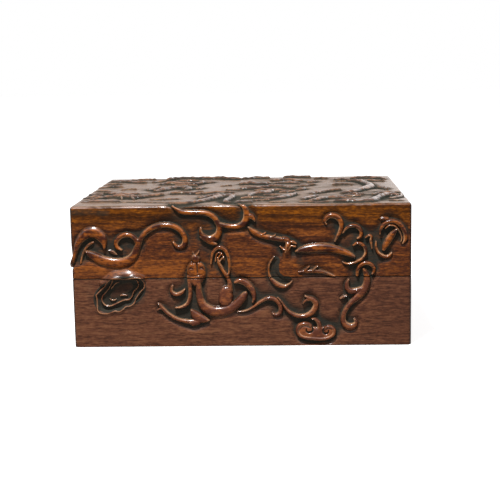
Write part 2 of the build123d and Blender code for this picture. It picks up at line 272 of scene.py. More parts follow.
# The second dragon, coming out of the clouds: jaw and brow, long smooth back, arm and a crescent of hair.
second_dragon = [
    band(1.6, (38.2, 96.4, 2.2), (41.6, 94.8, 2.5), (42, 90.8, 2.1), (40.5, 87.1, 1.3), (39.3, 84.1, 0.6)),
    band(0.9, (34.8, 89.6, 0.6), (37.6, 87.2, 1.1), (40.3, 85.5, 0.9)),
    band(0.8, (44.3, 93.7, 1.0), (46.7, 93.2, 1.5), (49.2, 91.8, 0.7)),
    band(0.5, (45.5, 89.9, 1.0), (48.3, 89.2, 1.1)),
    band(2.0, (48.6, 85, 0.8), (53.1, 86.5, 2.5), (59.5, 87.5, 3.7), (67.4, 88.2, 4.2), (76.2, 88.1, 4.0),
         (84.1, 86.4, 3.6), (90.9, 84.1, 3.0), (95.8, 81.9, 2.4), (99.8, 79.9, 1.3)),
    band(0.5, (51.5, 66.6, 0.8), (57.4, 67, 1.7), (64.3, 67.2, 1.9), (71.2, 66.5, 1.7), (77.1, 64.6, 1.4),
         (82.5, 62.4, 0.9), cut=0.8),
    band(1.0, (56.4, 67.5, 1.2), (58.4, 69.6, 1.0), (60.4, 71.5, 0.5), cut=0.8),
    band(1.0, (63.3, 67.7, 1.2), (65.5, 69.9, 1.0), (67.8, 71.7, 0.5), cut=0.8),
    band(0.7, (29.6, 80.7, 0.6), (27, 77.2, 0.8), (25, 73, 0.9), (24.6, 67.8, 1.0), (25.4, 62.6, 1.4),
         (28.6, 58.2, 2.2), (33.4, 54.6, 2.6), (38.6, 53.6, 2.0), (42.4, 55.6, 1.2), (45.2, 58.8, 0.5),
         soft=1.2),
    hollow(1.7, (31, 77.2, 2.2), (29.4, 72.3, 2.8), (30, 65.4, 3.0), (35, 60, 2.8), (41.6, 59.6, 2),
           edge=2.5),
    swell(1.8, (41.5, 91, 3.4), (40.6, 84, 5.4), (40.4, 76, 7.2), (42.5, 69, 9.5), (46, 64.5, 10)),
    band(-0.9, (41.5, 93, 2.6), (40.8, 85, 4.4), (40.4, 77, 6.0), (43, 68.5, 8.4), (47, 64, 8.4), cut=0.25,
         soft=1.5),
    band(0.8, (40.3, 85.5, 0.9), (42.9, 87.8, 1.0), (44.6, 90.4, 0.5)),
    shade(0.4, (51, 83, 6), (53, 74, 7), (54, 64, 6)), shade(0.4, (44, 98, 5), (50, 93, 7)),
]

# Three curls off the dragon's back, then a long double curl that hangs down over the seam.
curls = [
    band(1.2, (82.9, 93.4, 0.7), (85.1, 97.8, 1.4), (87.4, 101.8, 1.9), (88.8, 106.7, 2.2), (88, 111.6, 2.5),
         (84.6, 115.4, 2.7), (79.8, 116.5, 2.6), (76, 114.6, 2.2), (74.1, 111.2, 1.5), (75.6, 108.6, 0.8)),
    band(1.0, (90, 100.8, 0.7), (92.5, 104.5, 1.2), (96, 106.9, 1.5), (100.4, 107.1, 1.7), (104.2, 105, 1.9),
         (106.1, 100.9, 1.9), (105.3, 97.5, 1.6), (102.8, 95.9, 0.9)),
    band(1.0, (98.9, 89.8, 0.7), (102.3, 91.8, 1.4), (106.2, 90.9, 1.6), (109.3, 87.3, 1.6),
         (109.9, 82.7, 1.5), (107.4, 78.5, 1.4), (103.2, 75.8, 1.4), (98.7, 74.2, 1.3), (93.8, 73.5, 1.1),
         (89.9, 74.8, 0.6)),
    shade(0.4, (96, 99, 5), (101, 83, 5)),
]
hanging_curl = [
    band(0.9, (102.3, 62.9, 1.4), (102.9, 68.3, 1.7), (105.6, 72.3, 1.9), (110.1, 74.2, 2.0),
         (114.6, 72.7, 1.8), (117.2, 69.3, 1.7), (116.8, 65.8, 1.3), (115.3, 64, 0.7)),
    band(1.6, (108, 68.8, 0.9), (109.7, 65.8, 2.3), (111, 61.4, 3.0), (110.5, 55, 3.4), (107.5, 49.1, 3.8),
         (103, 44.2, 3.4), (97.6, 39.3, 2.5), (93.2, 34.1, 2.2), (90.5, 28.4, 2.3), (89.9, 22.5, 2.7),
         (92.2, 18.3, 3.2), (96, 16.7, 3.4), (99.8, 18.1, 2.7), (101.3, 20.9, 1.9), (100.1, 23.8, 1.1)),
    band(1.4, (94.6, 59.1, 1.1), (93.2, 55.5, 1.9), (93.6, 51.6, 2.4), (96.9, 49, 2.8), (101.6, 49.4, 2.7),
         (105.5, 51.1, 2.2)),
    band(0.7, (87.3, 42.3, 0.5), (90, 43.7, 1.4), (93.2, 45.2, 0.6)),
]

# A mushroom on its stalk, the fungus of long life.
mushroom = [
    band(1.1, (122.2, 99.4, 0.7), (122.9, 104.1, 1.4), (126.2, 108.6, 1.9), (131.4, 110.9, 2.1),
         (137, 109.9, 2.1), (141.3, 106, 2.2), (144.3, 100, 2.2), (144.5, 94.8, 1.8), (141.9, 91, 0.8)),
    band(1.3, (126.8, 104.4, 0.5), (130.4, 107.2, 0.8), (135.4, 106.4, 0.8), (139, 102.2, 0.8),
         (141.4, 96, 0.7), (140.4, 92, 0.5), cut=0.3),
    band(1.2, (123.2, 113, 1.2), (125.8, 113.1, 2.0), (128.8, 112.9, 1.4), cut=0.5),
    band(1.5, (136.3, 103.2, 1.4), (133.1, 99.1, 2.8), (129.7, 94, 3.1), (127, 89.4, 2.8),
         (125.5, 85.8, 1.4)),
    band(0.7, (109.6, 96.4, 0.5), (112.6, 98.6, 1.0), (114.8, 97.3, 1.3), (114.4, 92.9, 1.3),
         (115.4, 86.6, 0.6)),
    band(0.9, (118.9, 93.3, 0.6), (118.9, 87.5, 1.3), (121, 82.8, 1.6), (125.2, 79.8, 1.7),
         (129.6, 79.6, 1.6), (132.3, 82.4, 1.1)),
    shade(0.6, (118.5, 101, 6), (117, 92, 6), (116, 82, 6)), shade(0.5, (124, 95, 4), (122, 88, 4)),
    shade(0.45, (121, 109, 5), (128, 115, 6), (137, 114, 5), (143, 108, 4)),
]

# The dragon in the middle: its face is cut across by the seam; under it are the beard, a body bent like a U,
# the haunch, and a leg that reaches up into a curl of cloud.
dragon = [
    band(1.8, (-39.9, 79.9, 3.8), (-39.5, 79.1, 3.9)),
    band(1.7, (-38.6, 83, 1.2), (-37.4, 84.7, 0.8), (-36.4, 86.4, 0.4)),
    band(0.3, (-42.1, 85.5, 0.6), (-41.4, 84.2, 0.7)),
    band(1.9, (-43.3, 73.9, 2.4), (-43, 70.8, 4.2), (-42.6, 66.4, 5.6), (-42.3, 62.4, 5.8),
         (-40.4, 60.1, 5.6), (-40.6, 57.7, 2.6), (-40.8, 55.5, 0.7)),
    band(1.9, (-35.4, 74.5, 1.6), (-34.7, 71.3, 3.2), (-34.2, 66.4, 3.6), (-34.5, 62.9, 3.2)),
    band(1.0, (-39, 73, 4.2), (-38.6, 66, 5.6), (-38.6, 61.5, 5.6), soft=0.45),
    nick(0.7, (-46.6, 69.4, 0.5), (-44.2, 71.2, 0.9), (-41.8, 70.4, 0.5)),
    nick(0.7, (-36.2, 70.4, 0.5), (-34.4, 71.4, 0.8), (-32.4, 70, 0.5)),
    nick(0.5, (-47.4, 65.6, 0.5), (-43.4, 64.2, 0.7), (-38.4, 64.6, 0.7), (-34, 65.4, 0.5)),
    nick(0.8, (-39.1, 75.8, 0.7), (-38.4, 72.4, 1.4), (-38.1, 67.2, 0.8)),
    band(1.2, (-46.1, 63.4, 2.0), (-45.6, 56.4, 2.0), (-45.1, 50.5, 1.9), (-45.6, 44.5, 1.9),
         (-47.5, 39.6, 1.8), (-50.9, 36.8, 1.6), (-54.9, 35.7, 1.1), (-58.9, 35.6, 0.5)),
    band(1.1, (-60.8, 55.2, 1.1), (-61.9, 51.5, 1.6), (-60.7, 48.5, 1.9), (-57.2, 47.3, 2.0),
         (-53.2, 48.8, 1.8), (-50.1, 52, 0.8)),
    band(2.0, (-37.8, 63.4, 2.0), (-37.7, 55.5, 2.6), (-37.3, 48, 3.1), (-36.2, 42, 3.6), (-33.6, 36.8, 4.2),
         (-29.4, 33.4, 4.6), (-24, 31.8, 4.8), (-17.6, 31.8, 4.8), (-11.1, 33.6, 4.5), (-5.6, 37.1, 4.3),
         (-1.4, 41.2, 4.0), (1.6, 44.6, 3.5), (3.4, 47.2, 2.4), (4.1, 48.6, 1.2)),
    band(2.2, (-13.3, 50, 5.2), (-13.7, 45.6, 6.8), (-14, 41.6, 6.4)),
    band(1.6, (-10, 50.5, 2.8), (-9.8, 55.5, 2.3), (-10.9, 60.4, 1.9), (-13.4, 64.9, 1.8),
         (-16.5, 69.8, 1.7), (-19.1, 74.8, 1.6), (-20.1, 79.7, 0.9)),
    band(1.1, (-18.8, 76.3, 0.8), (-16.8, 79, 0.9), (-14.6, 80.8, 0.5)),
    band(0.9, (-20.1, 78.7, 0.8), (-18.5, 81.7, 0.8), (-16.3, 83.7, 0.5)),
    band(0.7, (-26.2, 74.6, 0.8), (-25.6, 80.2, 1.2), (-24.4, 84.9, 1.5), (-21.4, 88.4, 1.7),
         (-17.7, 89.3, 1.9), (-13.4, 86.6, 1.8), (-11, 81.2, 1.7), (-10, 75.2, 1.5), (-10, 69.3, 1.2),
         (-10.9, 65.4, 0.8), cut=0.4),
    band(-0.2, (-22.3, 76.6, 0.5), (-21.6, 81.9, 0.8), (-19.4, 84.6, 0.8), (-16.4, 83.2, 0.8),
         (-14.6, 78.2, 0.7), cut=0.2),
    hollow(2.2, (-21.3, 78.2, 3.5), (-17.3, 80.2, 6.2), (-14.8, 75.3, 5.2), (-13.3, 70.3, 3), edge=1.6),
    band(1.7, (-5.4, 57.8, 1.2), (-0.8, 59.4, 2.9), (4.6, 57, 3.1), (8.7, 52.5, 2.9), (10.8, 48.1, 2.4),
         (11.4, 43.6, 1.7), (10, 39.8, 0.7)),
]

# The dragon's tail, which parts in two curls, and the limb and leaf at the left of its belly.
tail = [
    band(1.1, (-3.7, 31.7, 0.6), (1.8, 31.7, 1.0), (6.8, 33.3, 1.1), (10.8, 35.7, 1.3), (14.7, 38.7, 1.5),
         (18.7, 41.2, 1.6), (22.7, 43, 1.8), (26.6, 43.2, 2.0), (30.6, 41.6, 2.1), (33.5, 38.2, 2.1),
         (34.9, 33.7, 2.0), (33.9, 29.8, 1.9), (30.9, 28.1, 1.8), (27.9, 29.2, 1.0)),
    band(1.3, (32.1, 44.1, 0.4), (35.5, 40.2, 0.8), (39, 34.5, 1.3), (42.4, 30.6, 1.8), (47.3, 27.8, 2.0),
         (52.2, 26.7, 2.1), (57.2, 27.3, 2.3), (62.1, 29.8, 2.6), (65.4, 34.1, 2.8), (65.9, 38.2, 2.8),
         (63.2, 41.7, 2.4), (59.8, 43, 1.9), (56.5, 44.9, 0.9)),
    band(1.0, (61.2, 41.7, 1.3), (57.9, 41.5, 1.4), (55.7, 40, 0.9), (54.3, 37.9, 0.5)),
]
limb = [
    band(1.1, (-73.9, 39.7, 0.8), (-72.1, 37.8, 1.6), (-69.4, 34.2, 1.8), (-66.5, 31.1, 1.8),
         (-63, 28.4, 1.8), (-59, 25.9, 1.8), (-54.5, 24.1, 1.8), (-49.5, 23.1, 2.1), (-45, 22.3, 2.6),
         (-40.1, 22.7, 2.6), (-35.6, 24.3, 1.6)),
    band(0.8, (-75, 33.4, 0.5), (-73.2, 34.6, 1.0), (-70.4, 34.9, 1.0)),
    band(1.7, (-44.2, 33, 1.4), (-41.6, 29.2, 3.8), (-38.6, 26.4, 4.8), (-35.4, 25, 4.0), (-32.2, 24.3, 2.6),
         (-29, 23.8, 0.8)),
    band(1.5, (-46.5, 22.2, 1.0), (-43.4, 21.1, 2.6), (-39.1, 22.3, 2.8)),
]

# A mushroom-headed cloud: a stem between two lobes, each rolled into a spiral.
cloud = [
    band(1.4, (62.4, 24.6, 0.8), (65.4, 23.9, 1.5), (67.9, 21.3, 2.0), (69, 17.6, 2.1), (69.2, 13.6, 2.4)),
    band(1.1, (55, 13.4, 6.0), (62, 11.4, 6.0), (70, 10.8, 6.2), (77.4, 12, 5.6), soft=0.45),
    band(1.7, (62.4, 15.9, 0.9), (60.4, 18.9, 1.5), (55.6, 20.2, 1.8), (51, 18.3, 2.0), (49.4, 14, 1.9),
         (51.2, 9.7, 1.9), (56.8, 7.2, 1.9), (63.6, 6.6, 1.9), (70.9, 6.1, 1.9), (78, 7.6, 1.9),
         (81.7, 11, 1.9), (81.3, 15, 1.8), (77.8, 17.4, 1.6), (74.4, 16.6, 1.3), (73, 14.6, 0.8)),
    nick(1.4, (62.2, 17.4, 0.5), (63.2, 14.3, 0.9), (60.4, 12.2, 1.1), (57.4, 13.2, 0.9), (57.4, 15.4, 0.5)),
    nick(1.4, (72.9, 16, 0.5), (71.9, 13, 0.9), (74, 10.9, 1.1), (76.8, 12, 0.8), (76.6, 14, 0.5)),
]

# The other walls repeat the front's figures in other places, and their upper edges and the strip beside the
# hinges stay plain. Each figure has its middle on the front, then u, v, size and turn of its repeats.
figures = [
    (left_scroll, (-100, 92), [(300, 88, -0.9), (452, 84, -1)]),
    (holed_rock, (-110, 50), [(640, 32, 0.85)]),
    (edge_scroll, (-20, 110), []),
    (branch, (20, 100), [(495, 98, 1, 6), (-205, 96, -1)]),
    (second_dragon, (62, 80), [(548, 66, -1), (-208, 70, 0.9)]),
    (curls, (90, 95), [(205, 92, 1, 8), (610, 88, -1), (-285, 96, -1, -6)]),
    (hanging_curl, (105, 45), [(178, 42, -1), (-352, 42, 1)]),
    (mushroom, (130, 97), [(341, 93, 1), (-330, 86, -1)]),
    (dragon, (-30, 56), [(252, 50, -1), (-262, 52, 1)]),
    (tail, (30, 35), [(213, 28, -1), (527, 32, -1), (-205, 33, 1)]),
    (limb, (-55, 28), [(352, 50, -1, -20), (432, 34, -1)]),
    (cloud, (66, 14), [(322, 20, 1), (470, 18, 1), (-300, 20, -1)]),
]
wall_carving = sum((figure for figure, _, _ in figures), [])
for figure, middle, repeats in figures:
    for u, v, *size_and_turn in repeats:
        wall_carving += moved(figure, middle, (u, v), *size_and_turn)

# Each side's middle on the unrolled strip, its directions along and out, its length and the box's across it.
sides = {"front": (0.0, (1, 0), (0, -1), length, depth), "right": (270.0, (0, 1), (1, 0), depth, length),
         "back": (540.0, (-1, 0), (0, 1), length, depth), "left": (-270.0, (0, -1), (-1, 0), depth, length)}
seam_rows = {side: [4.5, 9.0, wall] for side in sides}
seam_rows["back"] = [*np.arange(1.1, 6.8, 0.4), 9.0, 12.45, 12.75, wall]
skin, row_gap, seat_room, seat_slope, leaf_slope = 3.0, 0.5, 0.25, 0.5, 0.3
# How far the carving stays away from the hinges' axis and from the foot, and from how far back.
hinge_strip, hinge_fade, foot_strip, plain_behind, plain_fade = 6.0, 4.0, 2.5, 106.0, 6.0


def hinge_seats(x, y):
    """How far the seats for the hinge leaves, a flat step, and the pockets for the barrels, a circle about
    the hinges' axis, reach from the height of that axis."""
    seats = np.zeros(x.shape)
    for middle in hinge_places:
        at_leaf = np.clip((leaf_half + seat_room - abs(x - middle)) / seat_slope, 0, 1)
        flat = leaf_sunk * np.clip((y - leaf_front) / leaf_slope, 0, 1) * (y < hinge_back + 0.5)
        pocket = np.sqrt(np.maximum(barrel_room**2 - (y - hinge_back)**2, 0))
        seats = np.maximum(seats, at_leaf * np.maximum(flat, pocket))
    return seats


def board(side, profile, strokes, above):
    """One mitred board as a grid of places. `profile` carries rows (distance in from the face, height, turn
    up towards the top in degrees, carved) round its cross-section. In plan its outline is the wall's flat
    face with half of a corner's arc at each end, rows up to `skin` in follow it, and rows further in run
    between the inner mitres. Heights are drawn in behind the hinges' axis by the bevel, and carved rows move
    outwards by the carving. Strokes `above` belong to the lid's top and run out over its edge."""
    middle, along, out, long, across = sides[side]
    along, out = np.array(along, float), np.array(out, float)
    half, far = long / 2, across / 2
    w = np.linspace(-half, half, int(long * 2) + 1)
    arc = np.sign(w) * np.clip((abs(w) - half + corner_radius) / corner_radius, 0, 1) * pi / 4
    flat = np.clip(w, corner_radius - half, half - corner_radius)
    outward = np.sin(arc)[:, None] * along + np.cos(arc)[:, None] * out
    outer = flat[:, None] * along + (far - corner_radius) * out + corner_radius * outward
    inner = (w * (half - wall) / half)[:, None] * along + (far - wall) * out
    inset, z, turn, cut = (np.array(column, float)[:, None] for column in zip(*profile))
    shallow = outer - outward * np.minimum(inset, skin)[..., None]
    plan = shallow + (inner - shallow) * np.clip((inset - skin) / (wall - skin), 0, 1)[..., None]

    x, y = plan[..., 0], plan[..., 1]
    seam, below = (z == base_top) | (z == lid_foot), profile[0][1] < base_top
    fixed, edge, way = (0.0, base_top, -1) if below else (height, lid_foot, 1)
    gap = np.maximum(lid_foot - hinge_height, (y - hinge_back) * bevel_slope)
    z = fixed + (z - fixed) * (hinge_height + gap * way - fixed) / (edge - fixed)
    seats = hinge_height + hinge_seats(x, y) * way
    z = np.where(seam, np.minimum(z, seats) if below else np.maximum(z, seats), z)

    v = np.where(turn > 0, height - top_radius + top_radius * turn / 45, z)
    tall, marks = carved(middle + w + 0 * z, v, strokes)
    by_hinge = eased((y - plain_behind) / plain_fade)
    by_hinge *= 1 - eased((abs(v - hinge_height) - hinge_strip) / hinge_fade)
    kept = cut * (1 - by_hinge) * eased(v / foot_strip)
    tall, marks = tall * kept, {mark: value * kept for mark, value in marks.items()}
    if above:
        edge_x, edge_y = np.moveaxis(outer + (height - v)[..., None] * outward, -1, 0)
        more, more_marks = carved(edge_x, height + edge_y + depth / 2, above)
        tall = tall + more * cut
        marks = {mark: np.maximum(marks[mark], value * cut) for mark, value in more_marks.items()}
    up = np.radians(turn)
    return np.concatenate([plan + outward * (tall * np.cos(up))[..., None],
                           (z + tall * np.sin(up))[..., None]], axis=2), marks


def rounding(radius, last=90, steps=4):
    """Points round an edge: the angle in degrees, radius * (1 - sine) and radius * (1 - cosine)."""
    return [(a, radius * (1 - sin(radians(a))), radius * (1 - cos(radians(a))))
            for a in np.linspace(0, last, steps + 1)]


def base_profile(side):
    """Round a base board's section: underside, foot rounding, carved face, seam rounding, seam face, inner
    face and the floor's groove."""
    groove = wall - floor_groove
    return ([(wall, 0, 0, 0), (8, 0, 0, 0), (4, 0, 0, 0)]
            + [(s, c, 0, a > 0) for a, s, c in rounding(foot_radius)]
            + [(0, z, 0, 1) for z in np.arange(1.5, base_top - seam_radius, row_gap)]
            + [(c, base_top - s, 0, 1) for _, s, c in rounding(seam_radius)]
            + [(inset, base_top, 0, 0) for inset in seam_rows[side]]
            + [(wall, floor_high, 0, 0), (groove, floor_high, 0, 0), (groove, floor_low, 0, 0),
               (wall, floor_low, 0, 0)])


def piece_of(name, places, faces, marks):
    """A mesh piece from places in millimetres and sets of faces. A set is an array with one row of corners
    per face, and whether it is smooth. Each mark is a value per place, which the finish reads."""
    corners = np.concatenate([f.reshape(-1) for f, _ in faces])
    sizes = np.concatenate([np.full(len(f), f.shape[1]) for f, _ in faces])
    smooth = np.concatenate([np.full(len(f), rounded) for f, rounded in faces])
    mesh = bpy.data.meshes.new(name)
    mesh.vertices.add(len(places))
    mesh.vertices.foreach_set("co", (places.reshape(-1) / 1000).astype(np.float32))
    mesh.loops.add(len(corners))
    mesh.loops.foreach_set("vertex_index", corners.astype(np.int32))
    mesh.polygons.add(len(sizes))
    mesh.polygons.foreach_set("loop_start", (np.cumsum(sizes) - sizes).astype(np.int32))
    mesh.polygons.foreach_set("use_smooth", smooth)
    for mark, values in marks.items():
        layer = mesh.attributes.new(mark, "FLOAT", "POINT")
        layer.data.foreach_set("value", values.reshape(-1).astype(np.float32))
    mesh.update(calc_edges=True)
    mesh.validate()
    piece = bpy.data.objects.new(name, mesh)
    bpy.context.scene.collection.objects.link(piece)
    return piece


def grid_of(place):
    """The number of each place in a grid."""
    return np.arange(place.shape[0] * place.shape[1]).reshape(place.shape[:2])


def carved_board(name, side, profile, strokes, finish, above=()):
    """A board's grid joined round its section and capped at both mitres. Only the carved rows are smooth."""
    place, marks = board(side, profile, strokes, above)
    index = grid_of(place)
    onward = np.roll(index, -1, 0)
    quads = np.stack([index[:, :-1], index[:, 1:], onward[:, 1:], onward[:, :-1]], axis=-1)
    cut = np.array([row[3] for row in profile], bool)
    smooth = cut & np.roll(cut, -1)
    piece = piece_of(name, place.reshape(-1, 3),
                     [(quads[smooth].reshape(-1, 4), True), (quads[~smooth].reshape(-1, 4), False),
                      (index[:, :1].T, False), (index[::-1, -1:].T, False)], marks)
    piece.data.materials.append(finish)
    return piece


class Grain:
    """A value in a finish's nodes. Sums, differences, products and quotients of values add Math nodes."""

    def __init__(self, tree, socket):
        self.tree, self.socket = tree, socket

    def node(self, kind, sockets, output=0, stops=None, **settings):
        """Any other node: its settings first, then the values or links of its sockets by name or number."""
        made = self.tree.nodes.new("ShaderNode" + kind)
        for name, value in settings.items():
            setattr(made, name, value)
        if stops:
            ramp = made.color_ramp
            while len(ramp.elements) < len(stops):
                ramp.elements.new(1.0)
            for element, (at, colour) in zip(ramp.elements, stops):
                element.position, element.color = at, (*colour, 1.0)
        for key, value in sockets.items():
            if isinstance(value, Grain):
                self.tree.links.new(value.socket, made.inputs[key])
            else:
                made.inputs[key].default_value = value
        return Grain(self.tree, made.outputs[output])

    def math(self, operation, *others):
        return self.node("Math", dict(enumerate((self, *others))), operation=operation)

    def __add__(self, other):
        return self.math("ADD", other)

    def __sub__(self, other):
        return self.math("SUBTRACT", other)

    def __rsub__(self, other):
        return self.node("Math", {0: other, 1: self}, operation="SUBTRACT")

    def __mul__(self, other):
        return self.math("MULTIPLY", other)

    def __truediv__(self, other):
        return self.math("DIVIDE", other)

    __radd__, __rmul__ = __add__, __mul__

    def between(self, low, high):
        """0 below `low`, 1 above `high` and smooth between them."""
        return self.node("MapRange", {"Value": self, "From Min": low, "From Max": high},
                         interpolation_type="SMOOTHSTEP")

    def toned(self, stops):
        """The colour at this value on a ramp of (value, colour) stops."""
        return self.node("ValToRGB", {0: self}, stops=stops)

    def mixed(self, first, second, blend="MIX"):
        """From the first colour to the second as this value goes from 0 to 1."""
        sockets = {key: colour if isinstance(colour, Grain) else (*colour, 1.0)
                   for key, colour in ((6, first), (7, second))}
        return self.node("Mix", {0: self, **sockets}, output=2, data_type="RGBA", blend_type=blend)

    def drawn_out(self, along, cycles_along, cycles_across, detail, shift=(0, 0, 0), roughness=0.5, bent=0.0):
        """Noise at this place, drawn out along one axis. Cycles are per metre, and `shift` takes it from
        another part of the log."""
        scale = [cycles_along if axis == along else cycles_across for axis in "xyz"]
        vector = self.node("Mapping", {"Vector": self, "Location": shift, "Scale": scale})
        return self.node("TexNoise", {"Vector": vector, "Scale": 1.0, "Detail": detail,
                                      "Roughness": roughness, "Distortion": bent})


def new_finish(name, specular, coat_roughness):
    """An empty finish: its material, its shader and the place on the piece, from which its values come."""
    finish = bpy.data.materials.new(name)
    finish.use_nodes = True
    tree = finish.node_tree
    shader = next(n for n in tree.nodes if n.type == "BSDF_PRINCIPLED")
    shader.inputs["Specular IOR Level"].default_value = specular
    shader.inputs["Coat Roughness"].default_value = coat_roughness
    return finish, shader, Grain(tree, tree.nodes.new("ShaderNodeTexCoord").outputs["Object"])


def feed(shader, **values):
    """Values or links for the shader's sockets, named with _ for a space."""
    for name, value in values.items():
        socket = shader.inputs[name.replace("_", " ")]
        if isinstance(value, Grain):
            value.tree.links.new(value.socket, socket)
        else:
            socket.default_value = value


# Colours, among them painted shade for the strokes' flanks and the ground, and pale colours for wear and
# painted highlight on arrises and for a painted highlight on the lid's upper edge; the foot and span of the
# log's bands, in millimetres; and then, in metres, how these slope and wander, where they turn golden, where
# the painted highlight on the upper edge lies and weakens to the right, and where the seam and the dark
# corners are.
pore_brown, painted_flank_shade = (0.020, 0.008, 0.005), (0.024, 0.009, 0.006)
seam_brown, corner_brown = (0.012, 0.006, 0.004), (0.014, 0.007, 0.005)
worn_and_highlight_pale, painted_edge_highlight, stain_and_shade_black = (0.52, 0.29, 0.15), (0.38, 0.25, 0.20), (0.025, 0.030, 0.025)
red_to_orange = (0.110, 0.032, 0.017), (0.29, 0.088, 0.028)
gold_tint, log_foot, log_span = (1.0, 1.0, 0.35), 53.0, 85.0
log_slope, log_wander, gold_band = 0.06, 0.005, (0.098, 0.120)
arris_height, highlight_right, seam_place, seam_edge = (0.1235, 0.1243), (-0.06, 0.03), 0.062, (0.0004, 0.0011)
corner_right, corner_back = (0.1480, 0.1490), (0.1165, 0.1180)


def rosewood(name, along, tones, streaky=0.45, offset=0.0, strokes=red_to_orange, shine=0.04, crest_shine=0.9,
             edge_shine=0.6, coat_roughness=0.2, dark_between=(0.20, 0.62), dark_up_to=(0.05, 0.45), rings=(),
             dusk=0.0):
    """Oiled rosewood: growth bands and short streaks drawn out along the boards, dark pores, and the marks of
    the carving: the ground goes black between two levels of its dark mark, and up a stroke's side as far as
    two levels of its crest, which is stain and painted shade; strokes from dark red to orange, with painted
    shade darkening their flanks, pale wood on arrises that is wear and a painted highlight, and more shine on
    crests and on edges that face up. Dirt has gathered along the seam and at the outer corners, and a pale
    painted highlight lies along the lid's upper edge, weaker to the right. `rings` shifts the tone at heights
    up the log, whose bands slope down to the right and turn golden towards the top; `dusk` darkens the right
    end."""
    finish, shader, place = new_finish(name, 0.04, coat_roughness)

    def stretched(cycles_along, cycles_across, detail, seed):
        return place.drawn_out(along, cycles_along, cycles_across, detail,
                               (offset + seed, offset - seed, seed), 0.6, 0.4)

    right, back, up = (place.node("SeparateXYZ", {0: place}, output=axis) for axis in range(3))
    upward = place.node("SeparateXYZ", {0: place.node("TexCoord", {}, output=1)}, output=2)
    crest, rim, stain_and_shade = (place.node("Attribute", {}, output=2, attribute_name=mark)
                         for mark in ("crest", "rim", "stain_and_shade"))
    bands = stretched(5.0, 240.0, 3.0, 1.7)
    streaks = stretched(80.0, 680.0, 3.0, 5.1)
    pores = stretched(110.0, 1400.0, 1.0, 9.3).between(0.54, 0.70)
    patchy = stretched(70.0, 110.0, 3.0, 4.4)

    figure = bands * (1 - streaky) + streaks * streaky + stretched(240.0, 620.0, 2.0, 3.6) * 0.5 - 0.25
    figure = figure - right.between(0.05, 0.13) * dusk
    if rings:
        level = (up + right * log_slope + bands * log_wander - (log_foot + 0.5) / 1000) / (log_span / 1000)
        figure = figure + level.toned([((z - log_foot) / log_span, [tone] * 3) for z, tone in rings]) - 0.5
    wood = figure.toned(tones)
    if rings:
        wood = up.between(*gold_band).mixed(wood, gold_tint, blend="MULTIPLY")
    wood = (pores * 0.6).mixed(wood, pore_brown)

    stroke = (figure * 0.5 + patchy * 0.5).between(0.44, 0.59).mixed(*strokes)
    wood = (crest.between(0.1, 0.6) * 0.85).mixed(wood, stroke)
    # Painted shade: the strokes' flanks are darkened.
    shaded_flanks = crest.between(0.02, 0.35) * (1 - crest.between(0.35, 0.9))
    wood = (shaded_flanks * 0.7).mixed(wood, painted_flank_shade)
    # Pale wood along a narrow band's arris: wear, and a painted highlight.
    pale_arris = rim * stretched(90.0, 120.0, 2.0, 2.9).between(0.32, 0.56)
    wood = (pale_arris * 0.85).mixed(wood, worn_and_highlight_pale)
    edges = upward.between(0.25, 0.5) * (1 - upward.between(0.8, 0.97))
    # A painted highlight: pale on the upward-turned arris of the lid's upper edge, weaker to the right.
    edge_highlight = edges * up.between(*arris_height) * (1 - crest.between(0.02, 0.2)) * patchy.between(0.36, 0.58)
    wood = (edge_highlight * (0.75 - right.between(*highlight_right) * 0.45)).mixed(wood, painted_edge_highlight)
    seam = 1 - (up - seam_place).math("ABSOLUTE").between(*seam_edge)
    wood = (seam * 0.8).mixed(wood, seam_brown)
    corner = right.math("ABSOLUTE").between(*corner_right) * back.math("ABSOLUTE").between(*corner_back)
    wood = (corner * 0.75).mixed(wood, corner_brown)
    # Near black in the ground and low up the strokes: stain, and painted shade.
    stain_shade_mask = (stain_and_shade * (0.6 + patchy * 0.8)).between(*dark_between) * (1 - crest.between(*dark_up_to))
    wood = (stain_shade_mask * 0.88).mixed(wood, stain_and_shade_black)

    rough_ground = streaks * 0.4 - pores * 0.8 - stain_shade_mask * stretched(500.0, 700.0, 2.0, 2.2) * 0.8
    rubbed = shine + edges * edge_shine + crest.between(0.4, 0.8) * upward.between(0.05, 0.5) * crest_shine
    feed(shader, Base_Color=wood, Roughness=0.42 + stain_shade_mask * 0.4 - crest * 0.1,
         Coat_Weight=rubbed * (0.35 + patchy * 1.3) * (1 - stain_shade_mask) * (1 - seam * 0.9),
         Normal=place.node("Bump", {"Strength": 0.35, "Distance": 0.0003, "Height": rough_ground}))
    return finish


base_tones = [(0.34, (0.065, 0.024, 0.014)), (0.50, (0.130, 0.048, 0.025)), (0.66, (0.200, 0.082, 0.040))]
base_long = rosewood("base rosewood along x", "x", base_tones, streaky=0.75, dusk=0.05)
base_short = rosewood("base rosewood along y", "y", base_tones, streaky=0.75, offset=4.0)
for side in sides:
    piece = carved_board(f"carved_base_{side}", side, base_profile(side), wall_carving,
                         base_long if side in ("front", "back") else base_short)
    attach(piece, "base")
    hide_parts(f"base_{side}_board")

# ---------------------------------------------------------------------------------------------------------
# Inside the base: a floor panel held in the boards' grooves, thin strips that stand up round the walls and
# locate the lid, and the hidden splines glued into the corners. Plain rosewood, oiled and not carved.

inner_tones = [(0.35, (0.085, 0.033, 0.017)), (0.5, (0.15, 0.062, 0.031)), (0.65, (0.21, 0.095, 0.046))]


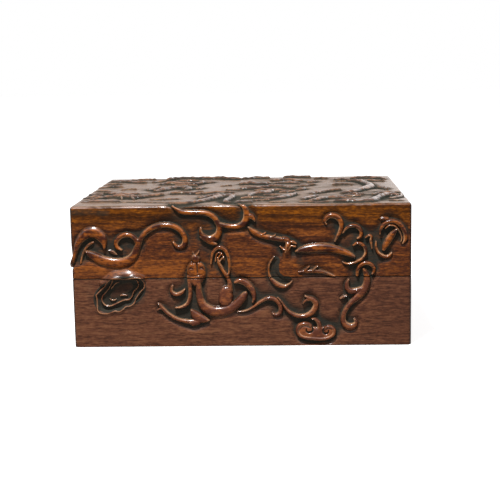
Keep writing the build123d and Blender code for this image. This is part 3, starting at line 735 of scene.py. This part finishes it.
def plain_wood(name, along, offset):
    """Plain planed rosewood: streaks and pores drawn out along the board, with no carving to stain."""
    finish, shader, place = new_finish(name, 0.25, 0.3)
    streaks = place.drawn_out(along, 9.0, 320.0, 3.0, [offset] * 3)
    pores = place.drawn_out(along, 170.0, 2400.0, 1.0, [offset] * 3).between(0.58, 0.7)
    feed(shader, Base_Color=(pores * 0.4).mixed(streaks.toned(inner_tones), (0.03, 0.012, 0.007)),
         Roughness=0.48 + pores * 0.2,
         Normal=place.node("Bump", {"Strength": 0.25, "Distance": 0.0002, "Height": streaks * 0.3 - pores}))
    return finish


def finished(finish, *nodes):
    """Gives the finish to solids that keep their shapes."""
    for node in nodes:
        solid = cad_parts[node].data
        solid.materials.clear()
        solid.materials.append(finish)


inner_long = plain_wood("inner rosewood along x", "x", 2.0)
inner_short = plain_wood("inner rosewood along y", "y", 6.0)
finished(inner_long, "base_floor_panel", "lip_front_strip", "lip_back_strip")
finished(inner_short, "lip_left_strip", "lip_right_strip", "base_corner_keys", "lid_corner_keys")

# ---------------------------------------------------------------------------------------------------------
# Two brass butt hinges with steel pins, let into the back of base and lid with three countersunk brass
# screws to a leaf. The brass is drawn sheet, dulled by handling; the pins are turned and brighter.


def drawn_metal(name, clean, dull, rough, scratches):
    """Metal dulled in patches, with fine scratches along the hinge that show as streaks of roughness."""
    finish, shader, place = new_finish(name, 0.5, 0.1)
    scratch = place.drawn_out("x", 60.0, 1800.0, 2.0)
    patch = place.node("TexNoise", {"Vector": place, "Scale": 140.0, "Detail": 4.0}).between(0.42, 0.62)
    feed(shader, Base_Color=patch.mixed(clean, dull), Metallic=1.0,
         Roughness=rough + patch * 0.16 + scratch * scratches,
         Normal=place.node("Bump", {"Strength": 0.15, "Distance": 0.0001, "Height": scratch}))
    return finish


brass = drawn_metal("dulled brass", (0.62, 0.44, 0.17), (0.36, 0.23, 0.085), 0.22, 0.18)
steel = drawn_metal("turned steel", (0.55, 0.54, 0.52), (0.36, 0.35, 0.33), 0.18, 0.12)
for hand in ("left", "right"):
    finished(brass, f"hinge_{hand}_base_leaf", f"hinge_{hand}_lid_leaf")
    finished(steel, f"hinge_{hand}_pin")
finished(brass, "base_hinge_screws", "lid_hinge_screws")

# ---------------------------------------------------------------------------------------------------------
# The lid's walls are the upper part of the same carved boards, sawn apart from the base along the seam. They
# come from a livelier piece of the log: gold and near-black bands run the whole length. On top they are
# mitred to the panel, where the edge is rounded over and the top's carving runs out over it.

under = 10.0


def roll(rise, *points, cut=0.8):
    """A band whose edges wander and whose crest is lumpy, lower towards the box's left and right edges."""
    return ("roll", rise, points, cut, 1.15)


# The top's main ridges, the bodies of dragons and rolled clouds, stand nearly 3 mm over the board. Here the
# second number is the distance back from the front edge.
top_ridges = [
    # left: a low mound, a thorned branch, and rows of rolled cloud that reach the left edge
    roll(2.0, (-143, 31, 2.6), (-134, 33, 5.2), (-123, 34, 6.0), (-112, 31, 3.0), cut=0.4),
    roll(2.6, (-141, 41, 1.6), (-129, 62, 3.0), (-118, 73, 3.8), (-107, 68, 3.4), (-97, 61, 3.0),
         (-87, 71, 2.4), (-75, 78, 1.2)),
    roll(2.4, (-134, 100, 1.8), (-123, 93, 3.2), (-112, 85, 3.4), (-100, 86, 3.6)),
    roll(2.4, (-147, 150, 2.4), (-138, 157, 3.6), (-127, 156, 3.0)),
    roll(2.4, (-146, 206, 2.8), (-131, 208, 3.4), (-118, 199, 4.0), (-107, 195, 2.6)),
    # the long limb behind the front edge, which swells, turns back and ends in a claw
    roll(2.4, (-62, 4, 1.0), (-47, 12, 2.4), (-35, 29, 4.4), (-26, 49, 5.4), (-17, 71, 4.8), (-9, 62, 4.0),
         (-11, 42, 3.2), (-14, 24, 3.0), (-9, 9, 2.0), cut=1.0),
    # left middle: a coiled dragon, and the cloud behind it that breaks over the back edge
    roll(2.6, (-87, 109, 1.6), (-81, 122, 3.8), (-72, 139, 5.0), (-61, 145, 4.4), (-55, 132, 3.6),
         (-59, 119, 2.0), cut=1.0),
    roll(2.6, (-88, 172, 2.0), (-79, 183, 3.4), (-66, 180, 3.6), (-54, 174, 3.2), (-46, 186, 2.8),
         (-47, 199, 1.6), cut=1.0),
    roll(3.0, (-86, 217, 1.8), (-78, 231, 4.2), (-64, 234, 4.6), (-50, 230, 4.0), (-35, 231, 3.6),
         (-20, 222, 2.8), (-9, 217, 1.4)),
    roll(2.2, (-69, 88, 1.6), (-60, 95, 2.6), (-50, 90, 2.6), (-40, 98, 1.8), cut=1.0),
    # middle: mounds and lumps of rock with a body winding behind them
    roll(2.2, (-3, 13, 2.8), (2, 19, 5.0), (9, 13, 3.0), cut=0.7),
    roll(2.6, (6, 58, 1.8), (9, 78, 4.2), (20, 88, 5.0), (27, 98, 2.6), cut=1.0),
    roll(2.4, (24, 35, 2.4), (32, 40, 4.2), (42, 57, 4.2), (49, 74, 2.6)),
    roll(2.4, (-4, 126, 2.0), (8, 128, 3.0), (19, 139, 3.6), (29, 145, 3.6), (39, 137, 3.2), (46, 122, 2.0),
         cut=1.0),
    roll(2.6, (-7, 166, 2.0), (4, 176, 4.2), (15, 165, 4.2), (23, 173, 2.6), cut=1.0),
    roll(2.6, (30, 168, 2.6), (40, 177, 5.0), (51, 168, 3.4), cut=1.0),
    roll(2.4, (24, 196, 2.0), (35, 206, 3.4), (47, 201, 3.4), (56, 188, 2.0), cut=1.0),
    roll(2.4, (-5, 224, 2.8), (7, 229, 3.2), (21, 226, 2.0)),
    roll(2.8, (38, 230, 2.2), (50, 234, 4.2), (64, 227, 2.4)),
    # right: the largest dragon, which sweeps from the back round to the right and down to the middle
    roll(2.8, (103, 190, 1.6), (114, 182, 3.2), (120, 163, 4.0), (123, 143, 5.0), (121, 123, 6.4),
         (113, 108, 5.4), (104, 89, 4.8), (93, 77, 2.6), cut=1.0),
    roll(2.8, (108, 208, 2.0), (121, 217, 4.6), (133, 213, 4.8), (142, 201, 2.4)),
    roll(2.8, (84, 10, 2.2), (97, 13, 3.6), (108, 10, 6.2), (117, 15, 6.8), (121, 31, 4.8), (127, 49, 4.4),
         (134, 60, 5.0), (142, 56, 2.8), cut=1.0),
    roll(2.4, (62, 17, 2.0), (70, 30, 3.6), (80, 43, 3.6), (91, 35, 3.0), (99, 29, 1.6)),
    roll(2.2, (64, 74, 3.0), (73, 89, 3.2), (83, 101, 2.6), (92, 106, 1.4), cut=1.0),
    roll(2.0, (87, 150, 1.6), (96, 156, 2.8), (106, 151, 1.6)),
]

# Between them lie smaller curls, thorns and pebbles, some of them only scratched in.
top_details = [
    roll(0.5, (-114, 22, 0.8), (-104, 28, 1.0), (-92, 27, 1.0), (-80, 23, 1.0), (-66, 21, 1.1),
         (-52, 23, 1.0), cut=0.6),
    roll(1.0, (-83, 42, 0.8), (-78, 44, 1.4), (-73, 42, 0.8), cut=0.6),
    roll(1.0, (-71, 44, 1.0), (-65, 48, 1.8), (-58, 46, 1.0)),
    roll(2.0, (-113, 64, 1.6), (-111, 54, 1.2), (-110, 46, 0.5), cut=0.6),
    roll(2.0, (-103, 62, 1.6), (-100, 52, 1.2), (-98, 44, 0.5), cut=0.6),
    roll(2.0, (-148, 62, 2.0), (-142, 72, 2.4), (-134, 82, 1.6)),
    roll(2.2, (-148, 96, 2.4), (-141, 90, 3.0), (-134, 84, 1.6)),
    roll(2.0, (-147, 118, 2.0), (-140, 120, 3.0), (-132, 116, 2.2), cut=0.7),
    roll(1.8, (-121, 128, 1.4), (-115, 134, 2.2), (-108, 131, 1.2), cut=0.4),
    roll(1.6, (-124, 222, 1.8), (-113, 229, 2.8), (-100, 226, 1.6), cut=0.7),
    roll(2.2, (-147, 180, 2.0), (-138, 184, 2.6), (-130, 179, 1.6)),
    roll(2.2, (-39, 48, 2.2), (-31, 62, 3.0), (-23, 73, 3.0), cut=1.0),
    roll(1.8, (-45, 84, 1.2), (-34, 93, 2.2), (-22, 97, 2.0), (-10, 92, 1.2)),
    roll(2.0, (-95, 122, 1.6), (-92, 134, 2.4), (-86, 144, 1.6)),
    roll(1.8, (-99, 196, 1.4), (-94, 204, 2.2), (-87, 206, 1.4), cut=0.6),
    roll(2.0, (-75, 206, 2.2), (-64, 210, 2.8), (-53, 208, 1.6), cut=1.0),
    roll(2.0, (-72, 160, 1.6), (-61, 164, 2.4), (-50, 158, 1.6), cut=1.0),
    roll(1.6, (-48, 128, 1.4), (-43, 136, 2.0), (-44, 144, 1.2)),
    roll(1.2, (-44, 190, 1.0), (-39, 194, 1.8), (-34, 190, 1.0)),
    roll(1.4, (-25, 152, 0.8), (-20, 158, 1.6), (-15, 156, 0.8), cut=0.6),
    roll(1.2, (-18, 118, 1.0), (-10, 116, 1.8), (-2, 112, 1.0)),
    roll(2.0, (0, 44, 1.6), (9, 50, 2.6), (19, 45, 1.8), cut=1.0),
    roll(1.6, (12, 26, 1.4), (18, 31, 2.2), (25, 28, 1.2)),
    roll(1.8, (20, 66, 2.0), (29, 70, 3.0), (34, 64, 1.6), cut=1.0),
    roll(1.8, (34, 90, 1.4), (40, 96, 2.4), (48, 94, 1.4), cut=1.0),
    roll(1.8, (10, 108, 1.4), (20, 113, 2.4), (32, 112, 2.2), (40, 106, 1.2), cut=1.0),
    roll(1.8, (50, 108, 1.6), (57, 115, 2.4), (58, 126, 1.4)),
    roll(1.8, (52, 142, 1.6), (60, 150, 2.6), (68, 157, 1.6), cut=1.0),
    roll(2.0, (62, 176, 2.0), (70, 184, 2.6), (66, 194, 1.6)),
    roll(2.2, (70, 212, 2.0), (76, 217, 2.8), (82, 213, 1.6)),
    roll(1.8, (90, 200, 1.4), (97, 206, 2.4), (104, 203, 1.4)),
    roll(1.0, (88, 182, 0.8), (94, 187, 1.4), (101, 185, 0.8), cut=0.7),
    roll(2.0, (56, 32, 2.6), (61, 46, 5.0), (68, 54, 3.4), cut=0.7),
    roll(1.8, (88, 46, 1.6), (98, 53, 2.6), (108, 50, 1.6)),
    roll(1.8, (95, 62, 1.6), (105, 68, 2.2), (112, 64, 1.2), cut=1.0),
    roll(2.0, (147, 70, 1.4), (146, 54, 1.8), (141, 40, 1.8), (133, 29, 1.2), cut=0.7),
    roll(2.0, (120, 62, 1.4), (128, 73, 2.2), (138, 77, 1.8), (146, 84, 1.2)),
    roll(2.0, (130, 128, 1.8), (135, 116, 2.4), (137, 104, 1.4)),
    roll(1.8, (124, 188, 1.6), (132, 184, 2.6), (139, 180, 1.6), cut=0.7),
    roll(1.2, (132, 14, 1.4), (138, 16, 2.2), (144, 13, 1.2), cut=0.7),
    roll(1.0, (52, 14, 1.0), (60, 17, 1.8), (67, 12, 2.0), (78, 12, 1.2)),
    roll(1.0, (26, 12, 1.0), (33, 15, 1.6), (40, 12, 1.0), cut=0.7),
]

# Dark patches behind and between them, by how strong they are: stain, and painted shadow behind the ridges.
stain_and_shadow_patches = {
    0.22: [((-17, 56, 5), (-17, 44, 6)), ((-19, 24, 5), (-11, 16, 6)), ((10, 11, 5), (24, 18, 6)),
           ((-110, 92, 5), (-98, 95, 8), (-90, 92, 5)), ((-88, 104, 5), (-82, 114, 6)),
           ((-73, 122, 5), (-58, 132, 8)), ((-70, 84, 5), (-60, 100, 10), (-54, 106, 6)),
           ((-40, 68, 5), (-30, 84, 8), (-18, 90, 5)), ((-16, 94, 5), (-6, 102, 8)),
           ((84, 88, 6), (92, 96, 6))],
    0.18: [((60, 11, 3), (80, 13, 5)), ((132, 11, 3), (143, 13, 5)), ((28, 24, 5), (35, 28, 5)),
           ((100, 60, 10), (118, 84, 14), (112, 100, 8)), ((40, 20, 6), (56, 24, 10)),
           ((60, 60, 8), (74, 66, 11), (90, 62, 8)), ((128, 84, 8), (134, 98, 11), (132, 110, 6)),
           ((-144, 50, 5), (-132, 52, 6), (-122, 58, 5))],
    0.15: [((4, 100, 8), (22, 122, 14), (36, 126, 10)), ((-4, 146, 10), (14, 152, 14), (34, 156, 11)),
           ((10, 190, 10), (20, 206, 14), (16, 216, 10)), ((70, 128, 8), (84, 136, 13), (100, 140, 8)),
           ((-84, 156, 8), (-68, 152, 11), (-52, 150, 6)), ((-144, 216, 6), (-128, 220, 10), (-110, 214, 6)),
           ((-144, 134, 6), (-130, 140, 10)), ((-142, 106, 6), (-132, 108, 8))],
}
top_stain_and_shadow = [shade(strength, *line) for strength, lines in stain_and_shadow_patches.items() for line in lines]
top_carving = moved(top_ridges + top_details + top_stain_and_shadow, (0, 0), (0, height))

lid_tones = [(0.34, (0.030, 0.009, 0.004)), (0.46, (0.070, 0.020, 0.008)), (0.56, (0.135, 0.039, 0.011)),
             (0.68, (0.27, 0.080, 0.016))]
lid_strokes = (0.050, 0.012, 0.006), (0.32, 0.088, 0.014)
# How far the growth bands lift or lower the tone, 0.5 being neither, at heights up the log.
lid_rings = [(54, 0.54), (62, 0.55), (68, 0.57), (74, 0.54), (84, 0.51), (94, 0.52), (100, 0.49), (104, 0.53),
             (107, 0.58), (109, 0.52), (111, 0.43), (113.5, 0.38), (116, 0.48), (118.5, 0.54), (120.5, 0.48),
             (123.5, 0.62), (128.5, 0.55), (134, 0.50)]


def lid_profile(side):
    """Round a lid board's section: seam face, seam rounding, carved face, half of the top rounding, the mitre
    to the top panel, its step and the inner face."""
    return ([(inset, lid_foot, 0, 0) for inset in reversed(seam_rows[side])]
            + [(s, lid_foot + c, 0, 1) for _, s, c in rounding(seam_radius)]
            + [(0, z, 0, 1) for z in np.arange(63.2, height - top_radius, row_gap)]
            + [(c, height - s, a, 1) for a, s, c in rounding(top_radius, 45, 6)]
            + [(under, height - under, 0, 0), (wall, height - under, 0, 0)])


lid_long = rosewood("lid rosewood along x", "x", lid_tones, strokes=lid_strokes, rings=lid_rings)
lid_short = rosewood("lid rosewood along y", "y", lid_tones, offset=4.0, strokes=lid_strokes, rings=lid_rings)
for side in sides:
    front = side == "front"
    piece = carved_board(f"carved_lid_{side}", side, lid_profile(side), wall_carving + top_carving * front,
                         lid_long if side in ("front", "back") else lid_short, top_carving * (not front))
    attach(piece, "lid")
    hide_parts(f"lid_{side}_board")

# ---------------------------------------------------------------------------------------------------------
# The lid's top: a 10 mm rosewood panel, paler and greyer than the walls and mitred into them all round. Its
# dragons, rocks and rolled clouds are lumpy and knife-marked.

edge_in, edge_zone = 0.88, 3.0


def top_panel(name, strokes, finish):
    """The top: a grid over the panel's length and depth, packed closer along its edges. An edge turns over
    as an arc, and a corner is that arc carried round, with the grid's square corner drawn in to a disc: a
    place (p, q) moves to p sqrt(1 - q^2 / 2R^2), q sqrt(1 - p^2 / 2R^2). Below it the edge runs in at 45
    degrees to a flat underside."""
    def laid_out(half, steps):
        """Distances from the middle, with three close steps at either edge."""
        flat = np.linspace(-half + edge_zone, half - edge_zone, steps)
        return np.concatenate([[-half, -half + 1, -half + 2], flat, [half - 2, half - 1, half]])

    def reach(chart, half):
        """How far out the place lies: the arc's cosine along the edge, and the same distance elsewhere."""
        turn = radians(45) * (1 + np.clip(half - abs(chart), 0, edge_zone) / edge_zone)
        arc = half - top_radius + top_radius * np.cos(turn)
        return np.where(abs(chart) > half - edge_zone, arc, abs(chart))

    a, b = np.meshgrid(laid_out(length / 2, 339), laid_out(depth / 2, 270))
    rim = corner_radius - top_radius + top_radius * cos(radians(45))
    p = np.maximum(reach(a, length / 2) - (length / 2 - corner_radius), 0)
    q = np.maximum(reach(b, depth / 2) - (depth / 2 - corner_radius), 0)
    p, q = p * np.sqrt(1 - q**2 / (2 * rim**2)), q * np.sqrt(1 - p**2 / (2 * rim**2))
    away = np.maximum(np.hypot(p, q), 1e-6)
    over = np.clip(away - (corner_radius - top_radius), 0, top_radius) / top_radius
    flat = np.stack([np.sign(a) * np.minimum(abs(a), length / 2 - corner_radius),
                     np.sign(b) * np.minimum(abs(b), depth / 2 - corner_radius)], axis=2)
    radial = np.stack([np.sign(a) * p / away, np.sign(b) * q / away], axis=2)
    plan = flat + radial * (away * (away > 1e-5))[..., None]
    tall, marks = carved(a, height + b + depth / 2, strokes)
    place = np.concatenate([plan + radial * (over * tall)[..., None],
                            (height - top_radius + (top_radius + tall) * np.sqrt(1 - over**2))[..., None]],
                           axis=2)

    index = grid_of(place)
    border = np.concatenate([index[0, :-1], index[:-1, -1], index[-1, :0:-1], index[:0:-1, 0]])
    shrunk = [(half - under) / (half - edge_in) for half in (length / 2, depth / 2)]
    low = plan.reshape(-1, 2)[border] * shrunk
    below = index.size + np.arange(len(border))
    middle = np.full(len(border), below[-1] + 1)
    places = np.concatenate([place.reshape(-1, 3), np.column_stack([low, np.full(len(low), height - under)]),
                             [[0, 0, height - under]]])
    quads = np.stack([index[:-1, :-1], index[:-1, 1:], index[1:, 1:], index[1:, :-1]], axis=-1).reshape(-1, 4)
    side_faces = np.column_stack([border, below, np.roll(below, -1), np.roll(border, -1)])
    underside = np.column_stack([np.roll(below, -1), below, middle])
    padding = np.zeros(len(places) - index.size)
    piece = piece_of(name, places, [(quads, True), (side_faces, False), (underside, False)],
                     {mark: np.concatenate([value.reshape(-1), padding]) for mark, value in marks.items()})
    piece.data.materials.append(finish)
    piece.data.materials.append(inner_long)
    plain = np.repeat([0, 1], [len(quads), len(side_faces) + len(underside)])
    piece.data.polygons.foreach_set("material_index", plain)
    return piece


top_tones = [(0.36, (0.062, 0.028, 0.012)), (0.5, (0.130, 0.064, 0.029)), (0.64, (0.20, 0.104, 0.050))]
top_strokes = (0.045, 0.020, 0.013), (0.20, 0.085, 0.040)
# On the top the ground goes black sooner and further up the strokes' sides: stain, and painted shade.
lid_top = rosewood("lid rosewood on top", "x", top_tones, strokes=top_strokes, shine=0.45, crest_shine=0.25,
                   edge_shine=0.0, coat_roughness=0.24, dark_between=(0.03, 0.32), dark_up_to=(0.45, 0.95))
piece = top_panel("carved_lid_top", wall_carving + top_carving, lid_top)
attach(piece, "lid")
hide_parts("lid_top_panel")

# ---------------------------------------------------------------------------------------------------------
# The studio: a white floor that keeps the box's shadow, a soft white room, one lamp high in front and a
# weak broad one behind.


def clear_view(tree):
    """1 for rays that come straight from the camera or by way of a shiny or clear surface, otherwise 0."""
    kinds = tree.nodes.new("ShaderNodeLightPath").outputs
    straight, shiny, clear = (Grain(tree, kinds[f"Is {kind} Ray"])
                              for kind in ("Camera", "Glossy", "Transmission"))
    return straight.math("MAXIMUM", shiny).math("MAXIMUM", clear)


floor = bpy.data.objects.new("studio_floor", bpy.data.meshes.new("studio_floor"))
floor.data.from_pydata([(-8, -8, 0), (8, -8, 0), (8, 8, 0), (-8, 8, 0)], [], [(0, 1, 2, 3)])
bpy.context.scene.collection.objects.link(floor)
white = bpy.data.materials.new("white floor")
white.use_nodes = True
tree = white.node_tree
tree.nodes.remove(next(n for n in tree.nodes if n.type == "BSDF_PRINCIPLED"))
seen = clear_view(tree)
grey = seen.node("BsdfDiffuse", {"Color": (0.3, 0.3, 0.3, 1)})
paper = seen.node("BsdfDiffuse", {"Color": (0.8, 0.8, 0.8, 1)})
glow = seen.node("Emission", {"Color": (1, 1, 1, 1), "Strength": 0.77})
surface = seen.node("MixShader", {0: seen, 1: grey, 2: seen.node("AddShader", {0: paper, 1: glow})})
output = next(n for n in tree.nodes if n.type == "OUTPUT_MATERIAL")
tree.links.new(surface.socket, output.inputs["Surface"])
floor.data.materials.append(white)

world = bpy.data.worlds.new("white room")
bpy.context.scene.world = world
world.use_nodes = True
tree = world.node_tree
seen = clear_view(tree)
room = seen.node("Background", {"Color": (1, 1, 1, 1), "Strength": 0.32})
backdrop = seen.node("Background", {"Color": (1, 1, 1, 1), "Strength": 1.0})
tree.links.new(seen.node("MixShader", {0: seen, 1: room, 2: backdrop}).socket,
               tree.nodes["World Output"].inputs["Surface"])


def lamp(name, place, aim, size, watts):
    """A square lamp at a place in metres, facing the aim."""
    light = bpy.data.lights.new(name, "AREA")
    light.shape, light.size, light.energy = "SQUARE", size, watts
    holder = bpy.data.objects.new(name, light)
    holder.location = place
    holder.rotation_euler = (Vector(aim) - Vector(place)).to_track_quat("-Z", "Y").to_euler()
    bpy.context.scene.collection.objects.link(holder)


lamp("key lamp", (-0.13, -0.57, 1.11), (0, -0.05, 0.06), 0.11, 20.0)
lamp("fill lamp", (0.9, 1.4, 0.6), (0, 0.05, 0.06), 1.6, 6.5)

# The camera stands a little right of the middle, looking slightly down and left, tilted by under a degree.
yaw, pitch, tilt = radians(-2.19), radians(9.17), radians(-0.98)
ahead = Vector((sin(yaw) * cos(pitch), cos(yaw) * cos(pitch), -sin(pitch)))
right = Vector((cos(yaw), -sin(yaw), 0))
up = right.cross(ahead)
right, up = right * cos(tilt) + up * sin(tilt), up * cos(tilt) - right * sin(tilt)
camera = bpy.data.objects.new("camera", bpy.data.cameras.new("camera"))
camera.data.lens, camera.data.sensor_width = 84.4, 36.0
turned = Matrix((right, up, -ahead)).transposed().to_4x4()
camera.matrix_world = Matrix.Translation((0.0473, -1.1362, 0.2509)) @ turned
bpy.context.scene.collection.objects.link(camera)
bpy.context.scene.camera = camera
bpy.context.scene.view_settings.view_transform = "Standard"
